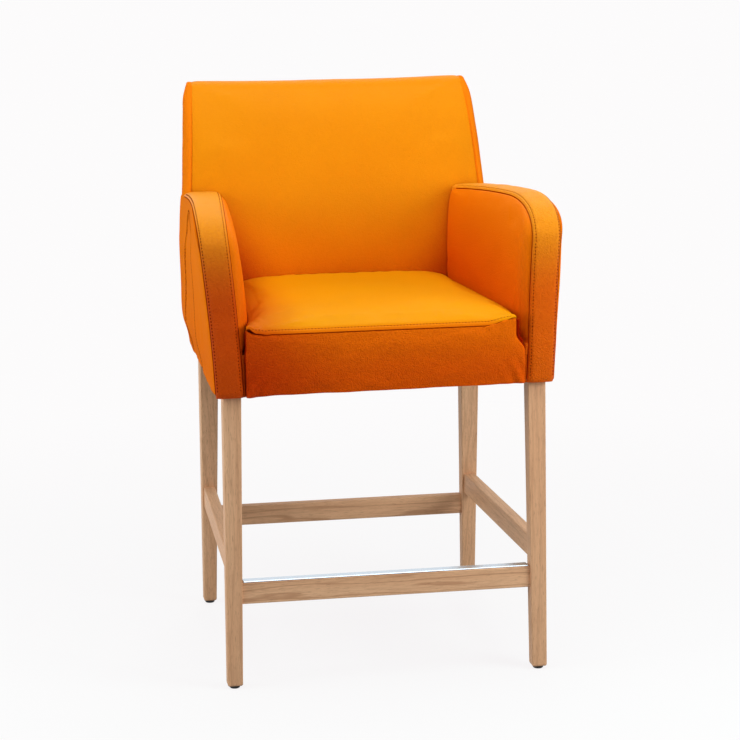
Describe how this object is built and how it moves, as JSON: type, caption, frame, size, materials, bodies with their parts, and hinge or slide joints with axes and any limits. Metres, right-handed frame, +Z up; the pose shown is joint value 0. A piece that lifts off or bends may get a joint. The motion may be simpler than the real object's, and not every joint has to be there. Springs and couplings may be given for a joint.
{
  "type": "counter stool with arms",
  "caption": "Counter-height stool: tapered wooden legs with stretchers and a steel foot strip carry a leather tub of crowned seat, flared padded arms and a raked back.",
  "frame": {"origin": "on the floor, under the middle of the stool's overall width and depth", "axes": "+X to the right seen from the front, +Y towards the back, +Z up"},
  "size_m": [0.6442, 0.6912, 1.036],
  "materials": {
    "stained_oak": "greige stain, matt lacquer",
    "frame_beech": "planed, unfinished",
    "plywood": "plain",
    "stainless_steel": "polished",
    "black_glide": "matt",
    "black_cover": "non-woven",
    "webbing": "woven elastic",
    "orange_leather": "soft grain, satin"
  },
  "bodies": {
    "root": {"front_leg_left": "stained_oak", "front_leg_right": "stained_oak", "rear_leg_left": "stained_oak", "rear_leg_right": "stained_oak", "front_stretcher": "stained_oak", "rear_stretcher": "stained_oak", "side_stretcher_left": "stained_oak", "side_stretcher_right": "stained_oak", "front_rail": "frame_beech", "rear_rail": "frame_beech", "side_rail_left": "frame_beech", "side_rail_right": "frame_beech", "back_low_rail": "frame_beech", "back_top_rail": "frame_beech", "corner_block_front_left": "frame_beech", "corner_block_front_right": "frame_beech", "corner_block_rear_left": "frame_beech", "corner_block_rear_right": "frame_beech", "arm_frame_left": "frame_beech", "arm_frame_right": "frame_beech", "seat_board": "plywood", "foot_plate": "stainless_steel", "front_glide_left": "black_glide", "front_glide_right": "black_glide", "rear_glide_left": "black_glide", "rear_glide_right": "black_glide", "dust_cover": "black_cover", "back_strap_1": "webbing", "back_strap_2": "webbing", "back_strap_3": "webbing", "arm_band_left": "orange_leather", "arm_band_right": "orange_leather", "arm_inner_pad_left": "orange_leather", "arm_inner_pad_right": "orange_leather", "arm_outer_pad_left": "orange_leather", "arm_outer_pad_right": "orange_leather", "arm_hem_left": "orange_leather", "arm_hem_right": "orange_leather", "back_pad": "orange_leather", "back_boxing": "orange_leather", "outside_back": "orange_leather", "seat_apron": "orange_leather", "seat_cushion": "orange_leather"}
  },
  "joints": []
}
